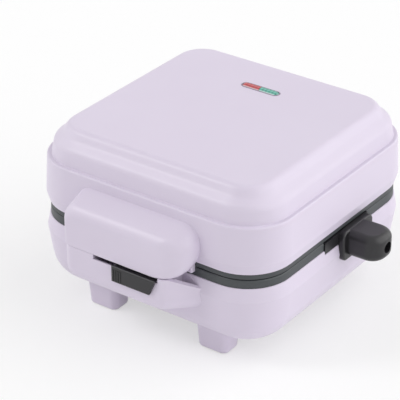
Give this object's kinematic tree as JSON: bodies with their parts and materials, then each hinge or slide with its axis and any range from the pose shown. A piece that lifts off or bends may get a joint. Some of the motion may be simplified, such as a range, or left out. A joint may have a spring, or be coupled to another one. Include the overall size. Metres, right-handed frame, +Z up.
{
  "type": "stuffed waffle maker",
  "caption": "Square countertop waffle maker with a deep hinged lid, front handle, sliding latch, indicator window and a cord outlet on its right side.",
  "frame": {"origin": "middle of the whole object's footprint, on the worktop", "axes": "+X to the right, out of the cord outlet; +Y to the back, where the hinge is; +Z up"},
  "size_m": [0.2326, 0.2374, 0.1399],
  "materials": {
    "white_plastic": "satin moulded plastic with a very faint grain",
    "dark_plastic": "dark grey satin moulded plastic",
    "latch_plastic": "dark grey satin moulded plastic",
    "foot_rubber": "matt black rubber",
    "coated_plate": "die-cast aluminium with a dark non-stick coating",
    "element_sheath": "drawn steel sheath, slightly oxidised",
    "shield_steel": "pressed bright aluminium sheet",
    "screw_steel": "zinc-plated steel",
    "fuse_sleeve": "woven glass-fibre sleeve",
    "block_nylon": "natural nylon",
    "thermostat_case": "dark moulded thermoset",
    "red_plastic": "clear red faceted lens",
    "green_plastic": "clear green faceted lens",
    "holder_nylon": "natural nylon",
    "lamp_glass": "clear lamp glass"
  },
  "bodies": {
    "base": {"base_shell": "white_plastic", "foot_pads": "foot_rubber", "base_ring": "dark_plastic", "lower_waffle_plate": "coated_plate", "lower_heating_element": "element_sheath", "lower_heat_shield": "shield_steel", "lower_plate_screws": "screw_steel", "lower_shield_screws": "screw_steel", "thermal_fuse": "fuse_sleeve", "terminal_block": "block_nylon", "cord_outlet": "dark_plastic", "hinge_pins": "screw_steel", "latch_retainer": "screw_steel", "latch_screws": "screw_steel"},
    "latch": {"latch_slider": "latch_plastic"},
    "lid": {"lid_shell": "white_plastic", "lid_ring": "dark_plastic", "upper_waffle_plate": "coated_plate", "upper_heating_element": "element_sheath", "upper_heat_shield": "shield_steel", "upper_plate_screws": "screw_steel", "upper_shield_screws": "screw_steel", "thermostat": "thermostat_case", "lens_bezel": "dark_plastic", "red_lens": "red_plastic", "green_lens": "green_plastic", "lamp_holder": "holder_nylon", "indicator_lamps": "lamp_glass"}
  },
  "joints": [
    {"name": "lid_hinge", "type": "hinge", "parent": "base", "child": "lid", "pos_m": [-0.0142, 0.1122, 0.0746], "axis": [-1, 0, 0], "range_deg": [0, 100]},
    {"name": "latch_slide", "type": "slide", "parent": "base", "child": "latch", "axis": [-1, 0, 0], "range_m": [0, 0.017]}
  ]
}
